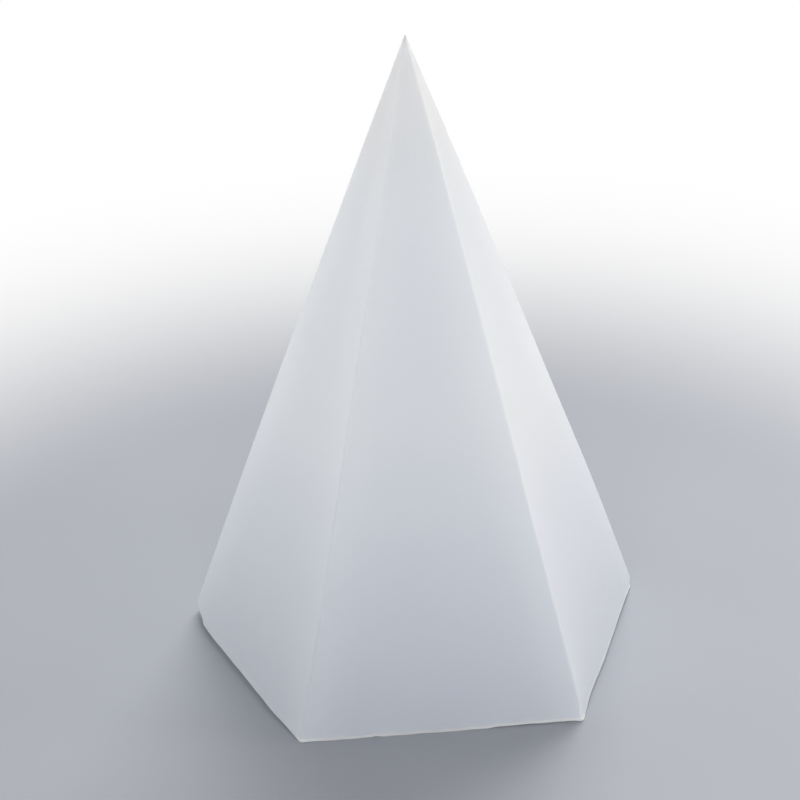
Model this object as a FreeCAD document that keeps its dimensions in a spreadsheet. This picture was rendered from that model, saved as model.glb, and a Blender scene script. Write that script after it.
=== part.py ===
import FreeCAD, Part
import math
import os

import Sketcher

# A tall five-sided pyramid mould, cast in one piece from silicone rubber.
#
# It stands on its open mouth with the point up. The origin is the middle of the mouth, in the plane of the rim,
# +Z runs up the pyramid's axis, one wall faces -Y and one corner points to +Y. All sizes are millimetres.

SIDES = 5
CORNER_STEP = 360.0 / SIDES
HALF_STEP = CORNER_STEP / 2.0

SIZES = (
    ("height", 150.0, "rim plane to the tip"),
    ("mouth_reach", 54.0, "axis to an outer corner of the mouth, were the corner sharp"),
    ("wall", 4.0, "thickness of the rubber, square to a wall"),
    ("bow_height", 52.0, "height above the rim at which the walls stand out most"),
    ("bow", 0.6, "how far the creases stand out there from a straight run to the tip"),
    ("tip_reach", 0.4, "axis to a corner of the small flat on the tip"),
    ("tip_rounding", 0.15, "rounding of the outer creases at the tip"),
    ("mouth_rounding", 0.9, "rounding of the outer creases at the mouth"),
    ("cavity_tip_reach", 0.35, "axis to a corner of the cavity's point"),
    ("cavity_tip_rounding", 0.12, "rounding of the cavity's creases at its point"),
    ("cavity_rounding", 0.4, "rounding of the cavity's creases at the mouth"),
    ("trim_height", 0.5, "height of the trim line round the rim"),
    ("trim_proud", 0.3, "how far the trim line stands out of the walls"),
)

NODE = "silicone_mould"


def make_sheet(doc):
    """The driving dimensions, one row each: name, number, meaning."""
    sheet = doc.addObject("Spreadsheet::Sheet", "Sizes")
    for row, (alias, number, meaning) in enumerate(SIZES, start=1):
        sheet.set(f"A{row}", alias)
        sheet.set(f"B{row}", str(number))
        sheet.set(f"C{row}", meaning)
        sheet.setAlias(f"B{row}", alias)
    doc.recompute()
    return sheet


def origin_plane(body, role):
    """One of the body's own origin planes, such as XY_Plane."""
    return next(feature for feature in body.Origin.OriginFeatures if feature.Role == role)


def direction(degrees):
    """A unit vector in the plane of the rim."""
    angle = math.radians(degrees)
    return FreeCAD.Vector(math.cos(angle), math.sin(angle), 0.0)


def outline(body, name, level, reach, rounding):
    """A sketch of the regular outline with rounded corners, level with the rim and `level` above it.

    The three sizes are expressions. `reach` goes from the axis to a corner as if it were sharp.
    """
    sketch = body.newObject("Sketcher::SketchObject", name)
    sketch.AttachmentSupport = (origin_plane(body, "XY_Plane"), [""])
    sketch.MapMode = "FlatFace"
    sketch.setExpression("AttachmentOffset.Base.z", level)

    # The corners' arcs turn about points that lie inside the sharp corners.
    spoke_length = f"({reach}) - ({rounding}) / cos({HALF_STEP} deg)"
    start_spoke = float(sketch.evalExpression(spoke_length))
    start_rounding = float(sketch.evalExpression(rounding))
    corner_angles = [90.0 + CORNER_STEP * corner for corner in range(SIDES)]
    centres = [direction(angle) * start_spoke for angle in corner_angles]

    spokes = []
    arcs = []
    for angle, centre in zip(corner_angles, centres):
        spokes.append(sketch.addGeometry(Part.LineSegment(FreeCAD.Vector(), centre), True))
        circle = Part.Circle(centre, FreeCAD.Vector(0, 0, 1), start_rounding)
        first = math.radians(angle - HALF_STEP)
        last = math.radians(angle + HALF_STEP)
        arcs.append(sketch.addGeometry(Part.ArcOfCircle(circle, first, last), False))
    sides = []
    for corner in range(SIDES):
        offset = direction(corner_angles[corner] + HALF_STEP) * start_rounding
        start = centres[corner] + offset
        end = centres[(corner + 1) % SIDES] + offset
        sides.append(sketch.addGeometry(Part.LineSegment(start, end), False))

    START, END, CENTRE = 1, 2, 3
    ROOT = -1
    sketch.addConstraint(Sketcher.Constraint("Vertical", spokes[0]))
    for corner in range(SIDES):
        following = (corner + 1) % SIDES
        sketch.addConstraint(Sketcher.Constraint("Coincident", spokes[corner], START, ROOT, START))
        sketch.addConstraint(Sketcher.Constraint("Coincident", arcs[corner], CENTRE, spokes[corner], END))
        sketch.addConstraint(Sketcher.Constraint("Tangent", arcs[corner], END, sides[corner], START))
        sketch.addConstraint(Sketcher.Constraint("Tangent", sides[corner], END, arcs[following], START))
        if following:
            step = math.radians(CORNER_STEP)
            sketch.addConstraint(
                Sketcher.Constraint("Angle", spokes[corner], START, spokes[following], START, step)
            )
            sketch.addConstraint(Sketcher.Constraint("Equal", spokes[corner], spokes[following]))
            sketch.addConstraint(Sketcher.Constraint("Equal", arcs[corner], arcs[following]))
    length = sketch.addConstraint(Sketcher.Constraint("Distance", spokes[0], start_spoke))
    sketch.renameConstraint(length, "spoke")
    sketch.setExpression("Constraints.spoke", spoke_length)
    radius = sketch.addConstraint(Sketcher.Constraint("Radius", arcs[0], start_rounding))
    sketch.renameConstraint(radius, "rounding")
    sketch.setExpression("Constraints.rounding", rounding)
    return sketch


def loft(body, kind, name, outlines):
    """A smooth loft, added or cut, through outlines in order of height."""
    feature = body.newObject(kind, name)
    feature.Profile = outlines[0]
    feature.Sections = outlines[1:]
    feature.Ruled = False
    return feature


def make_mould(doc):
    """The one-piece mould: outer skin, trim line, then the cavity cut up into it from the mouth."""
    body = doc.addObject("PartDesign::Body", "Mould")
    body.Label = NODE

    # The walls' lean, and what the wall's thickness measures along the rim's plane and up the axis.
    cosine = f"cos({HALF_STEP} deg)"
    lean = f"atan((Sizes.mouth_reach - Sizes.tip_reach) * {cosine} / Sizes.height)"
    wall_reach = f"Sizes.wall / cos({lean}) / {cosine}"
    wall_rise = f"Sizes.wall / sin({lean})"

    bow_share = "Sizes.bow_height / Sizes.height"
    bow_reach = f"Sizes.mouth_reach + (Sizes.tip_reach - Sizes.mouth_reach) * {bow_share} + Sizes.bow"
    bow_rounding = f"Sizes.mouth_rounding + (Sizes.tip_rounding - Sizes.mouth_rounding) * {bow_share}"
    skin = [
        outline(body, "SkinMouth", "0", "Sizes.mouth_reach", "Sizes.mouth_rounding"),
        outline(body, "SkinBow", "Sizes.bow_height", bow_reach, bow_rounding),
        outline(body, "SkinTip", "Sizes.height", "Sizes.tip_reach", "Sizes.tip_rounding"),
    ]
    loft(body, "PartDesign::AdditiveLoft", "Skin", skin)
    doc.recompute()

    trim_reach = f"Sizes.mouth_reach + Sizes.trim_proud / {cosine}"
    trim_outline = outline(body, "TrimOutline", "0", trim_reach, "Sizes.mouth_rounding")
    trim = body.newObject("PartDesign::Pad", "TrimLine")
    trim.Profile = trim_outline
    trim.setExpression("Length", "Sizes.trim_height")
    doc.recompute()

    cavity_rise = f"Sizes.height - {wall_rise}"
    cavity_bow_rounding = (
        "Sizes.cavity_rounding + (Sizes.cavity_tip_rounding - Sizes.cavity_rounding)"
        f" * Sizes.bow_height / ({cavity_rise})"
    )
    cavity = [
        outline(body, "CavityMouth", "0", f"Sizes.mouth_reach - {wall_reach}", "Sizes.cavity_rounding"),
        outline(body, "CavityBow", "Sizes.bow_height", f"{bow_reach} - {wall_reach}", cavity_bow_rounding),
        outline(body, "CavityTip", cavity_rise, "Sizes.cavity_tip_reach", "Sizes.cavity_tip_rounding"),
    ]
    loft(body, "PartDesign::SubtractiveLoft", "Cavity", cavity)
    doc.recompute()
    return body


def check(doc, bodies):
    """Stops with a plain message if anything in the document failed or a piece isn't one sound solid."""
    for item in doc.Objects:
        faults = [state for state in item.State if state in ("Invalid", "Error")]
        if faults:
            raise RuntimeError(f"{item.Label} failed: {faults}")
    for body in bodies:
        shape = body.Shape
        if shape.isNull() or not shape.isValid() or len(shape.Solids) != 1:
            raise RuntimeError(f"{body.Label} isn't one valid solid")


def main():
    doc = FreeCAD.newDocument("ResinMould")
    make_sheet(doc)
    bodies = [make_mould(doc)]
    doc.recompute()
    check(doc, bodies)
    os.makedirs("parts", exist_ok=True)
    for body in bodies:
        body.Shape.exportStep(f"parts/{body.Label}.step")
        box = body.Shape.BoundBox
        print(
            f"{body.Label}: {box.XLength:.2f} x {box.YLength:.2f} x {box.ZLength:.2f} mm,"
            f" {body.Shape.Volume / 1000:.1f} cm3, {len(body.Shape.Faces)} faces"
        )


main()
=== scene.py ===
"""A tall five-sided pyramid mould in milky silicone rubber, standing on its open mouth.

The mould is one moulding, so it is one mesh. Geometry Nodes sweep its wall, rim and cavity round the outline
of a regular polygon with softened corners, and the marks of handling are then pushed into the soft rubber.
Sizes are in metres. The mould stands on z = 0 with its axis on the Z axis and one wall facing -Y.
"""

import math

import bpy
import numpy as np
from mathutils import Matrix, Vector


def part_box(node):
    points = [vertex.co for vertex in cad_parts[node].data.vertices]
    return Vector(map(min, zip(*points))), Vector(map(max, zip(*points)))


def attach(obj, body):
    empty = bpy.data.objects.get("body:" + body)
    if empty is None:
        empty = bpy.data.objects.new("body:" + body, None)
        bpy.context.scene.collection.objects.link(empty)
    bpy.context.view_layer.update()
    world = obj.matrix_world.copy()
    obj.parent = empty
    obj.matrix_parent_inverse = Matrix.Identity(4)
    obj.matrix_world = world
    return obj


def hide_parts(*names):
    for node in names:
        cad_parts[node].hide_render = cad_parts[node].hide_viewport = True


bl_info = {
    "name": "Resin Casting Mould",
    "version": (1, 0, 0),
    "blender": (4, 5, 0),
    "location": "3D View > Sidebar > Mould",
    "description": "Builds a pyramid casting mould in silicone rubber and the stage that it stands on",
    "category": "Add Mesh",
}

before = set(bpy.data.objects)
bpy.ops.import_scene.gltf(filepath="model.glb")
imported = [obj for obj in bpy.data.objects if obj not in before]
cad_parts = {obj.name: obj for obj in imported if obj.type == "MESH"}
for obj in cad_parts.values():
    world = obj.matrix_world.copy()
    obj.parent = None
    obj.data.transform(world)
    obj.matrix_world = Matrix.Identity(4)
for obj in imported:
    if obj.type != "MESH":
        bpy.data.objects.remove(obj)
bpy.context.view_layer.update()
NODE = "silicone_mould"
NODE_LOW, NODE_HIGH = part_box(NODE)

MM = 0.001

# The outline: a regular polygon with one corner on +Y, so that the middle of one side faces -Y.
SIDES = 5
CORNER_ANGLE = 2 * math.pi / SIDES
HALF_ANGLE = CORNER_ANGLE / 2
FIRST_CORNER = math.pi / 2
COLUMNS_PER_SIDE = 80
COLUMNS_PER_CORNER = 8
CORNER_SHARE = COLUMNS_PER_CORNER / COLUMNS_PER_SIDE

# Rows of faces along each part of the wall's section, and how strongly they crowd towards the rim.
CAVITY_ROWS = 64
RIM_CURVE_ROWS = 4
RIM_ROWS = 8
TRIM_ROWS = 6
SKIN_ROWS = 88
CROWDING = 1.5

# Points that lie nearer to each other than this are joined into one.
WELD_REACH = 0.0005 * MM


# ----------------------------------------------------------------------------------------------------
# Node trees


class Value:
    """A node's output that Python's own operators work on: each one adds a Math node to its tree."""

    def __init__(self, tree, socket):
        self.tree = tree
        self.socket = socket

    def __add__(self, other):
        return self.tree.math("ADD", self, other)

    def __radd__(self, other):
        return self.tree.math("ADD", other, self)

    def __sub__(self, other):
        return self.tree.math("SUBTRACT", self, other)

    def __rsub__(self, other):
        return self.tree.math("SUBTRACT", other, self)

    def __mul__(self, other):
        return self.tree.math("MULTIPLY", self, other)

    def __rmul__(self, other):
        return self.tree.math("MULTIPLY", other, self)

    def __truediv__(self, other):
        return self.tree.math("DIVIDE", self, other)

    def __rtruediv__(self, other):
        return self.tree.math("DIVIDE", other, self)

    def __pow__(self, other):
        return self.tree.math("POWER", self, other)

    def __lt__(self, other):
        return self.tree.math("LESS_THAN", self, other)

    def __neg__(self):
        return self.tree.math("MULTIPLY", self, -1.0)

    def __abs__(self):
        return self.tree.math("ABSOLUTE", self)

    def sign(self):
        return self.tree.math("SIGN", self)

    def floor(self):
        return self.tree.math("FLOOR", self)

    def sine(self):
        return self.tree.math("SINE", self)

    def cosine(self):
        return self.tree.math("COSINE", self)

    def exponent(self):
        return self.tree.math("EXPONENT", self)

    def clamped(self):
        return self.tree.math("ADD", self, 0.0, clamp=True)

    def towards(self, other, share):
        """The number that lies `share` of the way from this one to the other."""
        return self + (other - self) * share


class Tree:
    """A node tree that is being put together."""

    def __init__(self, node_tree):
        self.node_tree = node_tree

    def add(self, kind, settings=None, inputs=None):
        """Adds a node: its settings first, then a value or a link for each named or numbered input."""
        node = self.node_tree.nodes.new(kind)
        for name, setting in (settings or {}).items():
            setattr(node, name, setting)
        for name, value in (inputs or {}).items():
            self.feed(self.input_of(node, name), value)
        return node

    def input_of(self, node, name):
        if isinstance(name, int):
            return node.inputs[name]
        return next(socket for socket in node.inputs if socket.name == name and socket.enabled)

    def feed(self, socket, value):
        if isinstance(value, Value):
            self.node_tree.links.new(value.socket, socket)
        elif isinstance(value, bpy.types.NodeSocket):
            self.node_tree.links.new(value, socket)
        else:
            socket.default_value = value

    def value(self, node, name=0):
        """One of a node's outputs, ready for arithmetic."""
        if isinstance(name, int):
            return Value(self, node.outputs[name])
        return Value(self, next(socket for socket in node.outputs if socket.name == name and socket.enabled))

    def math(self, operation, *terms, clamp=False):
        settings = {"operation": operation, "use_clamp": clamp}
        return self.value(self.add("ShaderNodeMath", settings, dict(enumerate(terms))))


# ----------------------------------------------------------------------------------------------------
# The mould's shape


def outline_point(turn, apothem, rounding):
    """x and y of the point at `turn`, 0 to 1, round a regular outline whose corners are rounded.

    Each corner owns one sector, from the middle of one side to the middle of the next.
    """
    sector = turn * SIDES
    corner = sector.floor()
    place = (sector - corner) * 2 - 1
    away = abs(place)
    centre = apothem - rounding
    run = centre * math.tan(HALF_ANGLE) * ((1 - away) / (1 - CORNER_SHARE))
    side_x = apothem * math.cos(HALF_ANGLE) + run * math.sin(HALF_ANGLE)
    side_y = apothem * math.sin(HALF_ANGLE) - run * math.cos(HALF_ANGLE)
    sweep = away * (HALF_ANGLE / CORNER_SHARE)
    arc_x = centre / math.cos(HALF_ANGLE) + rounding * sweep.cosine()
    arc_y = rounding * sweep.sine()
    on_arc = away < CORNER_SHARE
    x = side_x.towards(arc_x, on_arc)
    y = side_y.towards(arc_y, on_arc) * place.sign()
    heading = corner * CORNER_ANGLE + FIRST_CORNER
    east = x * heading.cosine() - y * heading.sine()
    north = x * heading.sine() + y * heading.cosine()
    return east, north, away


SHAPE_INPUTS = (
    ("Height", "height"),
    ("Mouth Apothem", "mouth_apothem"),
    ("Tip Apothem", "tip_apothem"),
    ("Bow", "bow"),
    ("Bow Height", "bow_height"),
    ("Wall", "wall"),
    ("Cavity Height", "cavity_height"),
    ("Mouth Rounding", "mouth_rounding"),
    ("Tip Rounding", "tip_rounding"),
    ("Cavity Rounding", "cavity_rounding"),
    ("Trim Height", "trim_height"),
    ("Trim Proud", "trim_proud"),
    ("Rim Rounding", "rim_rounding"),
)


def mould_tree():
    """The Geometry Nodes tree of the whole skin, as bands that follow one another along the wall's section.

    A band is a grid. Its X runs round the outline, its Y from the cavity's point down to the mouth, across
    the rim and up the outside to the tip.
    """
    group = bpy.data.node_groups.new("Mould skin", "GeometryNodeTree")
    group.is_modifier = True
    group.interface.new_socket("Geometry", in_out="OUTPUT", socket_type="NodeSocketGeometry")
    for label, _ in SHAPE_INPUTS:
        group.interface.new_socket(label, in_out="INPUT", socket_type="NodeSocketFloat")
    group.interface.new_socket("Material", in_out="INPUT", socket_type="NodeSocketMaterial")
    tree = Tree(group)
    given = tree.add("NodeGroupInput")
    size = {name: tree.value(given, label) for label, name in SHAPE_INPUTS}

    def skin_apothem(level):
        """A straight run from mouth to tip, with a bow on it that measures `bow` at the bow's own height."""
        share = level / size["height"]
        straight = size["mouth_apothem"].towards(size["tip_apothem"], share)
        spread = level * (size["height"] - level)
        return straight + size["bow"] * spread / (size["bow_height"] * (size["height"] - size["bow_height"]))

    def rounding_at(level, depth):
        """The rounding of the outer creases, passing into that of the cavity's creases as the depth grows."""
        skin = size["mouth_rounding"].towards(size["tip_rounding"], level / size["height"])
        cavity = size["cavity_rounding"].towards(size["tip_rounding"], level / size["cavity_height"])
        return skin.towards(cavity, (depth / size["wall"]).clamped())

    def band(rows, level_of, depth_of, apothem_of=None):
        """One grid, bent to shape.

        level_of, depth_of and apothem_of turn the way along the band, 0 to 1, into a height, a depth behind
        the outer skin and an apothem. Without the last of them the band follows the skin at its depth.
        """
        counts = {
            "Size X": 1.0,
            "Size Y": 1.0,
            "Vertices X": SIDES * COLUMNS_PER_SIDE + 1,
            "Vertices Y": rows + 1,
        }
        grid = tree.add("GeometryNodeMeshGrid", inputs=counts)
        position = tree.add("GeometryNodeInputPosition")
        split = tree.add("ShaderNodeSeparateXYZ", inputs={0: position.outputs[0]})
        # The grid is centred and 1 long each way, so half of that makes both of its ways start at nought.
        turn = tree.value(split, "X") + 0.5
        along = tree.value(split, "Y") + 0.5
        level = level_of(along)
        depth = depth_of(along)
        apothem = apothem_of(along) if apothem_of else skin_apothem(level) - depth
        rounding = tree.math("MINIMUM", rounding_at(level, depth), apothem / 2)
        east, north, away = outline_point(turn, apothem, rounding)
        crease_gap = away * apothem * math.tan(HALF_ANGLE)
        geometry = grid.outputs["Mesh"]
        facts = {"crease_gap": crease_gap, "depth": depth, "level": level}
        for name, value in facts.items():
            kept = tree.add(
                "GeometryNodeStoreNamedAttribute",
                {"data_type": "FLOAT", "domain": "POINT"},
                {"Geometry": geometry, "Name": name, "Value": value},
            )
            geometry = kept.outputs["Geometry"]
        place = tree.add("ShaderNodeCombineXYZ", inputs={0: east, 1: north, 2: level})
        bent = tree.add(
            "GeometryNodeSetPosition", inputs={"Geometry": geometry, "Position": place.outputs[0]}
        )
        return bent.outputs["Geometry"]

    wall, height, cavity_height = size["wall"], size["height"], size["cavity_height"]
    rim, trim, proud = size["rim_rounding"], size["trim_height"], size["trim_proud"]
    cavity_tip = skin_apothem(cavity_height) - wall
    quarter = math.pi / 2
    bands = [
        band(1, lambda t: cavity_height, lambda t: wall, lambda t: cavity_tip * t),
        band(CAVITY_ROWS, lambda t: cavity_height.towards(rim, 1 - (1 - t) ** CROWDING), lambda t: wall),
        band(
            RIM_CURVE_ROWS,
            lambda t: rim * (1 - (t * quarter).sine()),
            lambda t: wall - rim * (1 - (t * quarter).cosine()),
        ),
        band(RIM_ROWS, lambda t: 0.0, lambda t: (wall - rim) * (1 - t)),
        band(TRIM_ROWS, lambda t: trim * t, lambda t: -proud * (t * math.pi).sine()),
        band(SKIN_ROWS, lambda t: trim.towards(height, t**CROWDING), lambda t: 0.0),
        band(1, lambda t: height, lambda t: 0.0, lambda t: size["tip_apothem"] * (1 - t)),
    ]
    joined = tree.add("GeometryNodeJoinGeometry")
    for geometry in bands:
        group.links.new(geometry, joined.inputs[0])
    welded = tree.add(
        "GeometryNodeMergeByDistance", inputs={"Geometry": joined.outputs[0], "Distance": WELD_REACH}
    )
    smooth = tree.add("GeometryNodeSetShadeSmooth", inputs={"Geometry": welded.outputs[0]})
    real = tree.add("GeometryNodeRealizeInstances", inputs={"Geometry": smooth.outputs[0]})
    dressed = tree.add(
        "GeometryNodeSetMaterial",
        inputs={"Geometry": real.outputs[0], "Material": given.outputs["Material"]},
    )
    tree.add("NodeGroupOutput", inputs={"Geometry": dressed.outputs[0]})
    return group


def skin_mesh(sizes, material):
    """The tree's result as a plain mesh."""
    group = mould_tree()
    carrier = bpy.data.objects.new("mould_carrier", bpy.data.meshes.new("mould_carrier"))
    bpy.context.scene.collection.objects.link(carrier)
    modifier = carrier.modifiers.new("Skin", "NODES")
    modifier.node_group = group
    keys = {item.name: item.identifier for item in group.interface.items_tree if item.in_out == "INPUT"}
    for label, name in SHAPE_INPUTS:
        modifier[keys[label]] = sizes[name]
    modifier[keys["Material"]] = material
    evaluated = carrier.evaluated_get(bpy.context.evaluated_depsgraph_get())
    mesh = bpy.data.meshes.new_from_object(evaluated)
    bpy.data.objects.remove(carrier)
    bpy.data.node_groups.remove(group)
    return mesh


def compass(corner):
    """The way from the axis to a corner, counted counter-clockwise from +Y. Halves are the sides' middles."""
    angle = FIRST_CORNER + corner * CORNER_ANGLE
    return np.array([math.cos(angle), math.sin(angle)])


# Places round the mouth, counted in sides as above, and the way to the right.
LEFT_CORNER = 1
LEFT_SIDE = 1.5
LEFT_FRONT_CORNER = 2
FRONT_SIDE = 2.5
RIGHT_FRONT_CORNER = 3
RIGHT_SIDE = 3.5
RIGHT_CORNER = 4
EAST = np.array([1.0, 0.0])

# How far the rim's outer edge stands clear of the table: the way round the mouth in sides, then millimetres.
RIM_LIFT = (
    (0.0, 0.15),
    (0.5, 0.40),
    (0.95, 0.30),
    (1.03, 0.75),
    (1.08, 1.15),
    (1.6, 1.20),
    (1.75, 1.00),
    (1.9, 0.65),
    (1.97, 0.35),
    (2.0, 0.15),
    (2.06, 0.03),
    (2.66, 0.02),
    (2.69, 0.36),
    (2.95, 0.42),
    (3.0, 0.10),
    (3.1, 0.55),
    (3.85, 0.60),
    (3.93, 0.10),
    (4.0, 0.05),
    (4.5, 0.40),
    (5.0, 0.15),
)

# That lift fades out over this height up the walls, and over this depth in from the rim's outer edge.
LIFT_HEIGHT = 6 * MM
LIFT_DEPTH = 5 * MM

# The rim's waves: how high in millimetres, how close together round the mouth, and where they start.
RIM_WAVES = (
    (0.03, 34, 0.6),
    (0.03, 67, 2.1),
)

# The nick in the front edge: its place along X, its width, and its height in millimetres.
NICK_X = -14.6 * MM
NICK_WIDTH = 0.8 * MM
NICK_LIFT = 0.22

# The left wall's bulge near the rim: how proud and how tall it is, and, in sides, how far from the wall's
# middle it stays even and over what way it then falls off.
BULGE = 0.8 * MM
BULGE_HEIGHT = 40 * MM
BULGE_EVEN = 0.25
BULGE_FALL = 0.28

# The right wall's hollow near the rim: how deep and how tall it is, and, in sides, its place and its reach.
HOLLOW = 0.45 * MM
HOLLOW_HEIGHT = 14 * MM
HOLLOW_PLACE = 3.18
HOLLOW_REACH = 0.24

# How far round from its corner a crease that isn't straight moves the walls, in sides.
CREASE_REACH = 0.4

# Where the side creases bend: the corner, the bend's height and reach, and how far out it goes.
SIDE_BENDS = (
    (LEFT_CORNER, 100 * MM, 32 * MM, -0.2 * MM),
    (RIGHT_CORNER, 28 * MM, 22 * MM, 0.4 * MM),
)

# How far right of straight the front creases lie, in millimetres, and what is added to that below a height.
FRONT_BENDS = (
    (LEFT_FRONT_CORNER, 0.6, ((-0.4, 30 * MM),)),
    (RIGHT_FRONT_CORNER, 0.2, ((0.3, 45 * MM), (-0.5, 5 * MM))),
)

# The height from which the front creases come straight again, and the way over which they do.
STRAIGHT_HEIGHT = 128 * MM
STRAIGHT_BLEND = 16 * MM

# The mouth's squashed corners: the way that each one faces, how high the flat goes, and how much deeper it is
# at the table, up to what height.
SQUASHED_CORNERS = (
    (-EAST, 3.6 * MM, 0.7 * MM, 1.8 * MM),
    (compass(3.66), 0.9 * MM, 0.2 * MM, 1.5 * MM),
)


def fade(values, reach):
    """1 at nought, falling smoothly to 0 at `reach`, for numbers from nought up."""
    share = np.clip(1 - values / reach, 0, 1)
    return share * share * (3 - 2 * share)


def bump(values, middle, reach):
    """1 at `middle`, falling smoothly to about 0 at twice `reach` on both sides of it."""
    return np.exp(-(((values - middle) / reach) ** 2))


def handling_marks(mesh, sizes):
    """Pushes into the rubber what trimming, flexing and standing have done to it.

    The rim's outer edge waves and stands a little clear of the table, most at the left. In front it has a
    nick, and a step where two cuts of the trimming knife met. The mouth's left and right corners are squashed
    flat. The left wall bulges near the rim, the right one is hollow there, and the creases aren't straight.
    """
    count = len(mesh.vertices)
    points = np.empty(count * 3)
    mesh.vertices.foreach_get("co", points)
    points = points.reshape(count, 3)
    x, level = points[:, 0], points[:, 2].copy()
    mouth_apothem = sizes["mouth_apothem"]

    # Which side each point belongs to, how far out and along that side it is, and its place round the mouth.
    angle = np.arctan2(points[:, 1], x) - FIRST_CORNER
    way_round = (angle / CORNER_ANGLE) % SIDES
    side = np.floor(way_round)
    to_middle = FIRST_CORNER + (side + 0.5) * CORNER_ANGLE
    out = x * np.cos(to_middle) + points[:, 1] * np.sin(to_middle)
    along = points[:, 1] * np.cos(to_middle) - x * np.sin(to_middle)
    place = side + 0.5 + 0.5 * np.clip(along / (np.maximum(out, MM) * math.tan(HALF_ANGLE)), -1, 1)

    stops = np.array(RIM_LIFT)
    lift = np.interp(place, stops[:, 0], stops[:, 1])
    for rise, closeness, start in RIM_WAVES:
        lift += rise * np.sin(place * closeness + start)
    in_front = np.abs(place - FRONT_SIDE) < 0.5
    lift += NICK_LIFT * bump(x, NICK_X, NICK_WIDTH) * in_front
    inwards = np.maximum(mouth_apothem - out, 0)
    points[:, 2] += lift * MM * fade(level, LIFT_HEIGHT) * fade(inwards, LIFT_DEPTH)

    def push(distance, way):
        """Moves every point level by its own distance."""
        points[:, :2] += np.outer(distance, way)

    def near(corner):
        return fade(np.abs(place - corner), CREASE_REACH)

    from_even = np.maximum(np.abs(place - LEFT_SIDE) - BULGE_EVEN, 0)
    bulge = fade(from_even, BULGE_FALL) * fade(level, BULGE_HEIGHT)
    push(bulge * BULGE, compass(LEFT_SIDE))
    hollow = fade(np.abs(place - HOLLOW_PLACE), HOLLOW_REACH) * fade(level, HOLLOW_HEIGHT)
    push(hollow * -HOLLOW, compass(RIGHT_SIDE))

    for corner, middle, reach, distance in SIDE_BENDS:
        push(near(corner) * bump(level, middle, reach) * distance, compass(corner))
    below_tip = fade(np.maximum(level - STRAIGHT_HEIGHT, 0), STRAIGHT_BLEND)
    for corner, bend, changes in FRONT_BENDS:
        for change, height in changes:
            bend = bend + change * fade(level, height)
        push(near(corner) * below_tip * bend * MM, EAST)

    # Below the top of its flat, a squashed corner stands upright and square to the way it faces.
    mouth_reach = mouth_apothem / math.cos(HALF_ANGLE)
    for way, height, more, more_height in SQUASHED_CORNERS:
        corner_reach = mouth_reach * max(compass(each) @ way for each in range(SIDES))
        limit = corner_reach * (1 - height / sizes["height"]) - more * fade(level, more_height)
        push(np.minimum(limit - points[:, :2] @ way, 0), way)

    points = np.clip(points, np.array(NODE_LOW), np.array(NODE_HIGH))
    mesh.vertices.foreach_set("co", points.ravel())
    mesh.update()


# ----------------------------------------------------------------------------------------------------
# Materials


WHITE = (1.0, 1.0, 1.0, 1.0)

# Where the rubber's looks change: the height at which a change starts, and the way over which it grows to its
# full strength, downwards where that is below nought. For the front wall it is the place along Y instead.
UNDERSIDE = (0.12 * MM, -0.1 * MM)
TRIM_LINE = (0.7 * MM, -0.15 * MM)
# The last of these marks out the front wall, where the trim line gets the most painted highlight.
FRONT_HIGHLIGHT_EDGE = (-41 * MM, -1.5 * MM)

# The height over which the point becomes solid, and the depth in the wall at which the cavity's skin begins.
SOLID_POINT_BLEND = 30 * MM
CAVITY_DEPTH = 2 * MM

# The shares of the passed light that thick rubber and the rim's underside keep back.
THICK_LOSS = 0.6
UNDERSIDE_LOSS = 0.85

# How much whiter the trim line is all round, partly the knife's dry white and partly painted highlight, and
# how much more painted highlight it gets on the front wall.
TRIM_ALL_ROUND = 0.1
FRONT_PAINTED_HIGHLIGHT = 0.9

# Unevenness, as a noise's scale, its detail and how far it swings.
# The first of these gives a ragged top edge to the painted shade low on the wall.
SHADE_EDGE_NOISE = (22.0, 2.0, 10 * MM)
SATIN = (160.0, 3.0, 0.12)

# The satin skin: its roughness, how much less of it the cavity has, its fine grain, and the rubber's IOR.
SKIN_ROUGHNESS = 0.46
CAVITY_GLOSS = 0.2
GRAIN_SCALE = 2200.0
GRAIN_DETAIL = 2.0
GRAIN_DEPTH = 0.05 * MM
GRAIN_STRENGTH = 0.12
SILICONE_IOR = 1.41

FAR_FLOOR = (0.9, 0.9, 0.9, 1.0)
FLOOR_ROUGHNESS = 0.6


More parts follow.
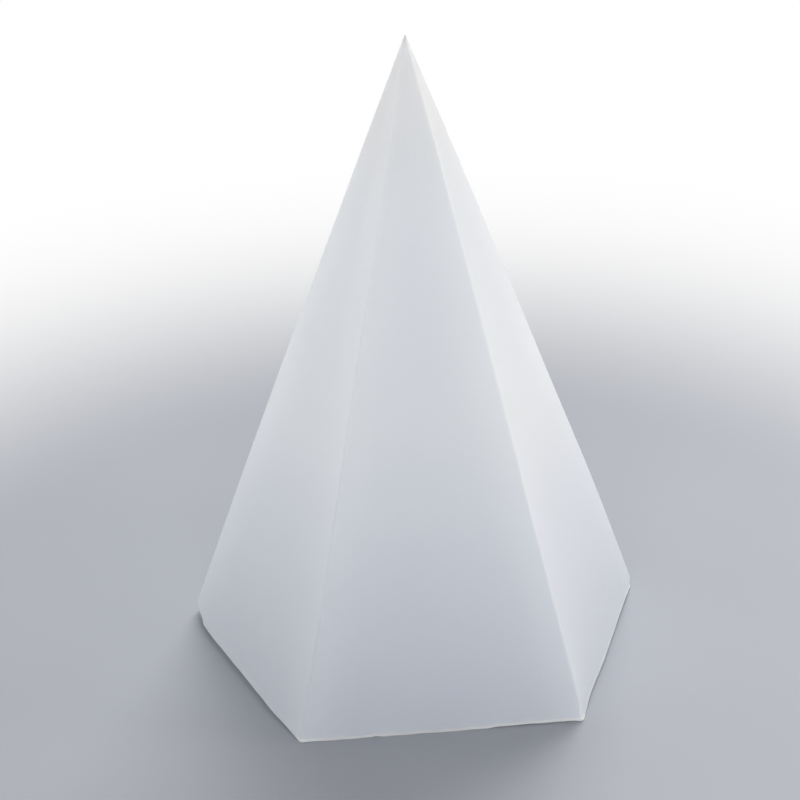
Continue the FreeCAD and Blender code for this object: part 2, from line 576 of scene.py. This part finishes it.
def silicone_material(look):
    """Milky rubber: soft light inside the wall, a satin skin outside and a glossier one in the cavity."""
    material = bpy.data.materials.new("milky silicone")
    material.use_nodes = True
    material.node_tree.nodes.clear()
    tree = Tree(material.node_tree)
    place = tree.add("ShaderNodeTexCoord").outputs["Object"]

    def attribute(name):
        return tree.value(tree.add("ShaderNodeAttribute", {"attribute_name": name}), "Fac")

    def noise(scale, detail):
        inputs = {"Vector": place, "Scale": scale, "Detail": detail, "Roughness": 0.5}
        return tree.value(tree.add("ShaderNodeTexNoise", inputs=inputs), 0)

    def unevenness(scale, detail, swing):
        """Noise that goes half of its swing up and half down."""
        return (noise(scale, detail) - 0.5) * swing

    def growth(value, start, way):
        """0 up to `start`, and 1 from `start + way` on."""
        return ((value - start) / way).clamped()

    def blend(share, first, second):
        inputs = {"Factor": share, "A": first, "B": second}
        return tree.value(tree.add("ShaderNodeMix", {"data_type": "RGBA"}, inputs), "Result")

    level = attribute("level")

    # Rubber is thickest behind the creases and in the solid point, and passes less light there.
    crease = (attribute("crease_gap") * (-1 / look.glow_width)).exponent()
    tip = growth(level, look.solid_point, SOLID_POINT_BLEND)
    thick = (crease * look.crease_share + tip).clamped()

    # The rim's underside has a whole wall's height of rubber behind it, so it passes hardly any.
    under = growth(level, *UNDERSIDE)
    passed = (1 - thick * THICK_LOSS) * (1 - under * UNDERSIDE_LOSS) * look.passed_share

    # The trim line is painted whiter: partly the knife's dry white all round, and a painted highlight that is
    # strongest on the front wall.
    trimmed = growth(level, *TRIM_LINE)
    rows = tree.add("ShaderNodeSeparateXYZ", inputs={0: place})
    in_front = growth(tree.value(rows, "Y"), *FRONT_HIGHLIGHT_EDGE)
    trim_white_and_highlight = trimmed * (TRIM_ALL_ROUND + in_front * FRONT_PAINTED_HIGHLIGHT)

    # Painted shade: below a height the wall's colour turns darker and bluer, standing in for the dark floor
    # inside the hollow showing through the wall.
    spread = ((level + unevenness(*SHADE_EDGE_NOISE)) / look.shade_reach).clamped()
    wall = blend(spread, (*look.low_shade_colour, 1.0), (*look.wall_colour, 1.0))
    skin = blend(tip, wall, (*look.thick_colour, 1.0))
    tint = blend(trim_white_and_highlight, skin, (*look.trim_highlight_colour, 1.0))

    inside = (attribute("depth") / CAVITY_DEPTH).clamped()
    rough = SKIN_ROUGHNESS + unevenness(*SATIN) - inside * CAVITY_GLOSS
    grain = tree.add(
        "ShaderNodeBump",
        inputs={
            "Strength": GRAIN_STRENGTH,
            "Distance": GRAIN_DEPTH,
            "Height": noise(GRAIN_SCALE, GRAIN_DETAIL),
        },
    )
    shader = tree.add(
        "ShaderNodeBsdfPrincipled",
        {"subsurface_method": "RANDOM_WALK"},
        {
            "Base Color": tint,
            "Roughness": rough,
            "IOR": SILICONE_IOR,
            "Subsurface Weight": 1.0,
            "Subsurface Radius": (1.0, 1.0, 1.0),
            "Subsurface Scale": look.scatter,
            "Normal": grain.outputs["Normal"],
        },
    )
    through = tree.add("ShaderNodeBsdfTranslucent", inputs={"Color": (*look.through_colour, 1.0)})
    rubber = tree.add("ShaderNodeMixShader", inputs={0: passed, 1: shader.outputs[0], 2: through.outputs[0]})
    tree.add("ShaderNodeOutputMaterial", inputs={"Surface": rubber.outputs[0]})
    return material


def seen_plainly(tree):
    """1 for what the camera sees, straight, in a gloss or through something clear, and 0 for other light."""
    rays = tree.add("ShaderNodeLightPath")
    gloss_or_through = tree.math(
        "MAXIMUM", tree.value(rays, "Is Glossy Ray"), tree.value(rays, "Is Transmission Ray")
    )
    return tree.math("MAXIMUM", tree.value(rays, "Is Camera Ray"), gloss_or_through)


def floor_material(stage):
    """Pale grey round the mould, running out to plain white, with the white seen by the camera as it is."""
    material = bpy.data.materials.new("pale floor")
    material.use_nodes = True
    material.node_tree.nodes.clear()
    tree = Tree(material.node_tree)
    place = tree.add("ShaderNodeTexCoord").outputs["Object"]
    distance = tree.value(tree.add("ShaderNodeVectorMath", {"operation": "LENGTH"}, {0: place}), "Value")
    far = tree.add(
        "ShaderNodeMapRange",
        {"interpolation_type": "SMOOTHSTEP"},
        {"Value": distance, "From Min": stage.grey_reach, "From Max": stage.white_reach},
    )
    tint = tree.add(
        "ShaderNodeMix",
        {"data_type": "RGBA"},
        {"Factor": far.outputs["Result"], "A": (*stage.floor_colour, 1.0), "B": FAR_FLOOR},
    )
    sheet = tree.add(
        "ShaderNodeBsdfPrincipled",
        inputs={"Base Color": tree.value(tint, "Result"), "Roughness": FLOOR_ROUGHNESS},
    )
    white = tree.add("ShaderNodeEmission", inputs={"Color": WHITE, "Strength": 1.0})
    share = seen_plainly(tree) * tree.value(far, "Result")
    mixed = tree.add("ShaderNodeMixShader", inputs={0: share, 1: sheet.outputs[0], 2: white.outputs[0]})
    tree.add("ShaderNodeOutputMaterial", inputs={"Surface": mixed.outputs[0]})
    return material


# ----------------------------------------------------------------------------------------------------
# Settings


class MouldShape(bpy.types.PropertyGroup):
    """The mould's sizes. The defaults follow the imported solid's box."""

    height: bpy.props.FloatProperty(
        name="Height", description="Rim to tip", default=NODE_HIGH.z, unit="LENGTH", precision=4
    )
    trim_height: bpy.props.FloatProperty(
        name="Trim height",
        description="Height of the trim line round the rim",
        default=0.5 * MM,
        unit="LENGTH",
    )
    trim_proud: bpy.props.FloatProperty(
        name="Trim proud", description="How far the trim line stands out", default=0.3 * MM, unit="LENGTH"
    )
    tip_apothem: bpy.props.FloatProperty(
        name="Tip", description="Half the width of the small flat on the tip", default=0.1 * MM, unit="LENGTH"
    )
    bow: bpy.props.FloatProperty(
        name="Bow",
        description="How far the walls stand out of a straight run",
        default=0.485 * MM,
        unit="LENGTH",
    )
    bow_height: bpy.props.FloatProperty(
        name="Bow height", description="Height at which the bow is measured", default=52 * MM, unit="LENGTH"
    )
    wall: bpy.props.FloatProperty(
        name="Wall", description="Thickness of the rubber", default=4 * MM, unit="LENGTH"
    )
    mouth_rounding: bpy.props.FloatProperty(
        name="Mouth rounding", description="Outer creases, at the mouth", default=0.9 * MM, unit="LENGTH"
    )
    tip_rounding: bpy.props.FloatProperty(
        name="Tip rounding", description="Outer creases, at the tip", default=0.15 * MM, unit="LENGTH"
    )
    cavity_rounding: bpy.props.FloatProperty(
        name="Cavity rounding", description="Creases of the cavity", default=0.4 * MM, unit="LENGTH"
    )
    rim_rounding: bpy.props.FloatProperty(
        name="Rim rounding", description="Inner edge of the rim", default=0.3 * MM, unit="LENGTH"
    )


class MouldLook(bpy.types.PropertyGroup):
    """The rubber's colour, with shade and a highlight painted into it, and the way that light spreads in it.
    """

    wall_colour: bpy.props.FloatVectorProperty(
        name="Wall", description="Rubber over the hollow", subtype="COLOR", default=(0.88, 0.907, 0.965)
    )
    # Painted shade: a darker, bluer colour low on the wall, standing in for the dark floor in the hollow
    # showing through.
    low_shade_colour: bpy.props.FloatVectorProperty(
        name="Low wall", description="Rubber near the mouth", subtype="COLOR", default=(0.72, 0.758, 0.82)
    )
    thick_colour: bpy.props.FloatVectorProperty(
        name="Thick", description="Rubber where it is thickest", subtype="COLOR", default=(0.90, 0.91, 0.95)
    )
    # Partly the cut line's own dry white and partly a painted highlight.
    trim_highlight_colour: bpy.props.FloatVectorProperty(
        name="Trim", description="Trim line round the rim", subtype="COLOR", default=(1.0, 1.0, 0.985)
    )
    through_colour: bpy.props.FloatVectorProperty(
        name="Through", description="Light that comes through", subtype="COLOR", default=(0.905, 0.91, 0.915)
    )
    passed_share: bpy.props.FloatProperty(
        name="Passed share",
        description="Share of the light that each skin passes",
        default=0.48,
        subtype="FACTOR",
    )
    crease_share: bpy.props.FloatProperty(
        name="Crease share",
        description="How much thicker a crease looks",
        default=0.05,
        subtype="FACTOR",
    )
    # The painted shade reaches up to this height.
    shade_reach: bpy.props.FloatProperty(
        name="Blue reach",
        description="Height up to which the wall looks bluer",
        default=62 * MM,
        unit="LENGTH",
    )
    glow_width: bpy.props.FloatProperty(
        name="Glow width", description="Reach of the thicker creases", default=3 * MM, unit="LENGTH"
    )
    solid_point: bpy.props.FloatProperty(
        name="Solid point",
        description="Height where the rubber starts to look solid",
        default=110 * MM,
        unit="LENGTH",
    )
    scatter: bpy.props.FloatProperty(
        name="Scatter", description="How far light travels in the rubber", default=1.0 * MM, unit="LENGTH"
    )


class StageLook(bpy.types.PropertyGroup):
    """The floor, the lamps and the camera."""

    floor_colour: bpy.props.FloatVectorProperty(
        name="Floor", description="Floor round the mould", subtype="COLOR", default=(0.43, 0.45, 0.50)
    )
    back_light: bpy.props.FloatProperty(name="Back light", description="Its power in watts", default=13.6)
    left_light: bpy.props.FloatProperty(name="Left light", description="Its power in watts", default=0.62)
    right_light: bpy.props.FloatProperty(name="Right light", description="Its power in watts", default=0.70)
    front_light: bpy.props.FloatProperty(name="Front light", description="Its power in watts", default=6.7)
    world_light: bpy.props.FloatProperty(
        name="World light", description="Strength of the light from all round", default=0.245
    )
    grey_reach: bpy.props.FloatProperty(
        name="Grey reach", description="Where the floor begins to turn white", default=0.11, unit="LENGTH"
    )
    white_reach: bpy.props.FloatProperty(
        name="White reach", description="Where the floor is white", default=0.26, unit="LENGTH"
    )
    azimuth: bpy.props.FloatProperty(
        name="Azimuth",
        description="Camera's way round the mould",
        default=math.radians(-5.16),
        subtype="ANGLE",
    )
    elevation: bpy.props.FloatProperty(
        name="Elevation",
        description="Camera's height as an angle",
        default=math.radians(28.18),
        subtype="ANGLE",
    )
    roll: bpy.props.FloatProperty(
        name="Roll", description="Camera's tilt about its view", default=math.radians(-1.6), subtype="ANGLE"
    )
    distance: bpy.props.FloatProperty(
        name="Distance", description="Camera to the point it looks at", default=1.122, unit="LENGTH"
    )
    look_side: bpy.props.FloatProperty(
        name="Look side", description="Point looked at, right of the axis", default=-3.27 * MM, unit="LENGTH"
    )
    look_height: bpy.props.FloatProperty(
        name="Look height", description="Point looked at, above the floor", default=60.7 * MM, unit="LENGTH"
    )
    lens: bpy.props.FloatProperty(name="Lens", description="Focal length in millimetres", default=225.2)


def shape_sizes(shape):
    """Every size that the tree takes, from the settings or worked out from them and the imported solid."""
    sizes = {name: getattr(shape, name) for _, name in SHAPE_INPUTS if hasattr(shape, name)}
    cosine = math.cos(HALF_ANGLE)

    # The solid's box ends at the trim line's rounded corner, short of where the corner would be if sharp.
    corner_reach = NODE_HIGH.y + shape.mouth_rounding * (1 / cosine - 1)
    sizes["mouth_apothem"] = corner_reach * cosine - shape.trim_proud

    # The wall is given square to the sloping faces, so it measures more along the rim and up the axis.
    lean = math.atan((sizes["mouth_apothem"] - shape.tip_apothem) / shape.height)
    sizes["wall"] = shape.wall / math.cos(lean)
    sizes["cavity_height"] = shape.height - shape.wall / math.sin(lean)
    return sizes


# The soft boxes: the setting that gives each one's power, where it stands, how wide it is, and its colour.
LAMPS = (
    ("back_light", (0.36, 1.05, 1.0), 0.9, (1.0, 1.0, 1.0)),
    ("left_light", (-0.40, 0.12, 0.06), 0.2, (1.0, 0.965, 0.91)),
    ("right_light", (0.32, -0.095, 0.035), 0.14, (1.0, 0.94, 0.87)),
    ("front_light", (-0.2, -1.34, 0.5), 0.9, (0.955, 0.975, 1.0)),
)

# The point that they all face.
LAMP_TARGET = Vector((0.0, 0.0, 0.06))

# How far the floor runs each way from the mould.
FLOOR_REACH = 4.0

# The camera's sensor in millimetres, and how far it sees.
SENSOR_WIDTH = 36.0
CLIP_END = 100.0


# ----------------------------------------------------------------------------------------------------
# Operators


class MOULD_OT_make_mould(bpy.types.Operator):
    """Makes the silicone mould"""

    bl_idname = "mould.make_mould"
    bl_label = "Silicone mould"

    def execute(self, context):
        sizes = shape_sizes(context.scene.mould_shape)
        mesh = skin_mesh(sizes, silicone_material(context.scene.mould_look))
        mesh.name = "mould"
        handling_marks(mesh, sizes)
        piece = bpy.data.objects.new("mould", mesh)
        context.scene.collection.objects.link(piece)
        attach(piece, "root")
        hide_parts(NODE)
        return {"FINISHED"}


def add_lamp(name, watts, place, width, colour):
    """A square soft box that faces the mould."""
    lamp = bpy.data.lights.new(name, "AREA")
    lamp.energy = watts
    lamp.size = width
    lamp.color = colour
    light = bpy.data.objects.new(name, lamp)
    light.location = place
    light.rotation_euler = (LAMP_TARGET - Vector(place)).to_track_quat("-Z", "Y").to_euler()
    light.visible_camera = False
    bpy.context.scene.collection.objects.link(light)


class MOULD_OT_make_stage(bpy.types.Operator):
    """Makes the floor, the lamps, the surroundings and the camera"""

    bl_idname = "mould.make_stage"
    bl_label = "Stage"

    def execute(self, context):
        stage = context.scene.mould_stage
        self.make_floor(stage)
        self.make_world(stage)
        for name, place, width, colour in LAMPS:
            add_lamp(name, getattr(stage, name), place, width, colour)
        self.make_camera(context.scene, stage)
        context.scene.view_settings.view_transform = "Standard"
        return {"FINISHED"}

    def make_floor(self, stage):
        ways = ((-1, -1), (1, -1), (1, 1), (-1, 1))
        corners = [(x * FLOOR_REACH, y * FLOOR_REACH, 0) for x, y in ways]
        mesh = bpy.data.meshes.new("floor")
        mesh.from_pydata(corners, [], [(0, 1, 2, 3)])
        mesh.materials.append(floor_material(stage))
        floor = bpy.data.objects.new("floor", mesh)
        bpy.context.scene.collection.objects.link(floor)

    def make_world(self, stage):
        world = bpy.data.worlds.new("studio")
        world.use_nodes = True
        world.node_tree.nodes.clear()
        tree = Tree(world.node_tree)
        strength = stage.world_light + seen_plainly(tree) * (1 - stage.world_light)
        sky = tree.add("ShaderNodeBackground", inputs={"Color": WHITE, "Strength": strength})
        tree.add("ShaderNodeOutputWorld", inputs={"Surface": sky.outputs[0]})
        bpy.context.scene.world = world

    def make_camera(self, scene, stage):
        back = Vector(
            (
                math.sin(stage.azimuth) * math.cos(stage.elevation),
                -math.cos(stage.azimuth) * math.cos(stage.elevation),
                math.sin(stage.elevation),
            )
        )
        right = Vector((math.cos(stage.azimuth), math.sin(stage.azimuth), 0.0))
        target = right * stage.look_side + Vector((0, 0, stage.look_height))
        turn = back.to_track_quat("Z", "Y").to_matrix().to_4x4()
        camera = bpy.data.objects.new("camera", bpy.data.cameras.new("camera"))
        camera.data.lens = stage.lens
        camera.data.sensor_width = SENSOR_WIDTH
        camera.data.clip_end = CLIP_END
        camera.matrix_world = (
            Matrix.Translation(target + back * stage.distance) @ turn @ Matrix.Rotation(stage.roll, 4, "Z")
        )
        scene.collection.objects.link(camera)
        scene.camera = camera


class MOULD_PT_panel(bpy.types.Panel):
    """Lists the mould's pieces and settings"""

    bl_idname = "MOULD_PT_panel"
    bl_label = "Casting mould"
    bl_space_type = "VIEW_3D"
    bl_region_type = "UI"
    bl_category = "Mould"

    def draw(self, context):
        for operator in (MOULD_OT_make_mould, MOULD_OT_make_stage):
            self.layout.operator(operator.bl_idname)
        for group in (context.scene.mould_shape, context.scene.mould_look, context.scene.mould_stage):
            box = self.layout.box()
            for name in group.bl_rna.properties.keys():
                if name not in ("rna_type", "name"):
                    box.prop(group, name)


CLASSES = (MouldShape, MouldLook, StageLook, MOULD_OT_make_mould, MOULD_OT_make_stage, MOULD_PT_panel)


def register():
    for each in CLASSES:
        bpy.utils.register_class(each)
    bpy.types.Scene.mould_shape = bpy.props.PointerProperty(type=MouldShape)
    bpy.types.Scene.mould_look = bpy.props.PointerProperty(type=MouldLook)
    bpy.types.Scene.mould_stage = bpy.props.PointerProperty(type=StageLook)


def unregister():
    del bpy.types.Scene.mould_stage
    del bpy.types.Scene.mould_look
    del bpy.types.Scene.mould_shape
    for each in reversed(CLASSES):
        bpy.utils.unregister_class(each)


def main():
    register()
    bpy.ops.mould.make_mould()
    bpy.ops.mould.make_stage()


if __name__ == "__main__":
    main()
